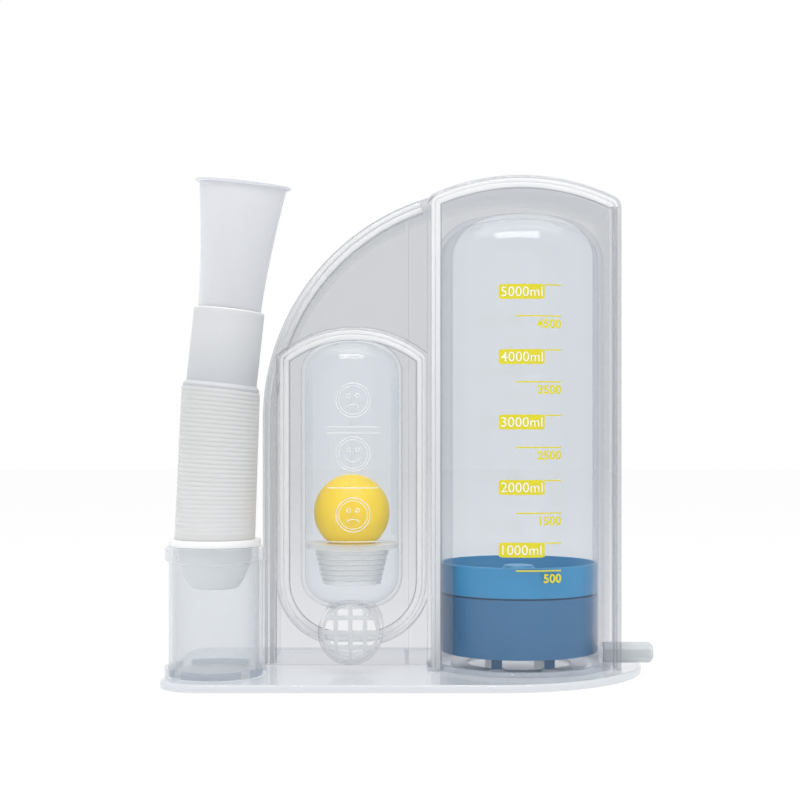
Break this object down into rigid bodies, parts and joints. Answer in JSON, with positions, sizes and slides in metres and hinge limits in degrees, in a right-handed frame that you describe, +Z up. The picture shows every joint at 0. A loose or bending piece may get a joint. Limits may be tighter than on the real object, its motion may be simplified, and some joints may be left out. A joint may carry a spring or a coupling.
{
  "type": "incentive spirometer",
  "caption": "Breathing exerciser: clear housed cylinder with a blue piston, ball flow gauge, and a ribbed hose with a mouthpiece standing in a side cup.",
  "frame": {"origin": "underside of the base plate, below the line between the flow side and the volume side, in the plane of the volume cylinder's axis", "axes": "+Z up, +X towards the volume cylinder and its air port, +Y towards the back of the housing"},
  "size_m": [0.2362, 0.123, 0.2438],
  "materials": {
    "clear_base": "gloss",
    "clear_shell": "gloss",
    "clear_tube": "gloss",
    "frosted_plastic": "satin",
    "white_plastic": "satin",
    "mouth_plastic": "satin",
    "piston_blue": "satin",
    "seal_blue": "satin",
    "cap_blue": "satin",
    "ball_yellow": "gloss"
  },
  "bodies": {
    "housing": {"base_plate": "clear_base", "rear_shell": "clear_shell", "front_shell": "clear_shell", "main_cylinder": "clear_tube", "cylinder_foot_ring": "clear_tube", "piston_stop_ring": "clear_base", "flow_tube": "clear_tube", "ball_seat": "frosted_plastic", "inlet_collar": "clear_shell", "inlet_grille": "frosted_plastic", "hose_cup": "clear_shell", "air_port": "frosted_plastic"},
    "piston": {"piston_body": "piston_blue", "piston_seal": "seal_blue", "piston_cap": "cap_blue"},
    "ball": {"float_ball": "ball_yellow"},
    "hose": {"hose_tail_cuff": "white_plastic", "corrugated_hose": "white_plastic"},
    "mouth": {"hose_top_cuff": "white_plastic", "mouthpiece": "mouth_plastic"}
  },
  "joints": [
    {"name": "piston_lift", "type": "slide", "parent": "housing", "child": "piston", "axis": [0, 0, 1], "range_m": [0, 0.14]},
    {"name": "ball_float", "type": "slide", "parent": "housing", "child": "ball", "axis": [0, 0, 1], "range_m": [0, 0.06]},
    {"name": "hose_lift", "type": "slide", "parent": "housing", "child": "hose", "axis": [0, 0, 1], "range_m": [0, 0.06]},
    {"name": "hose_stretch", "type": "slide", "parent": "hose", "child": "mouth", "axis": [0, 0, 1], "range_m": [0, 0.12], "deforming": ["corrugated_hose"]}
  ]
}
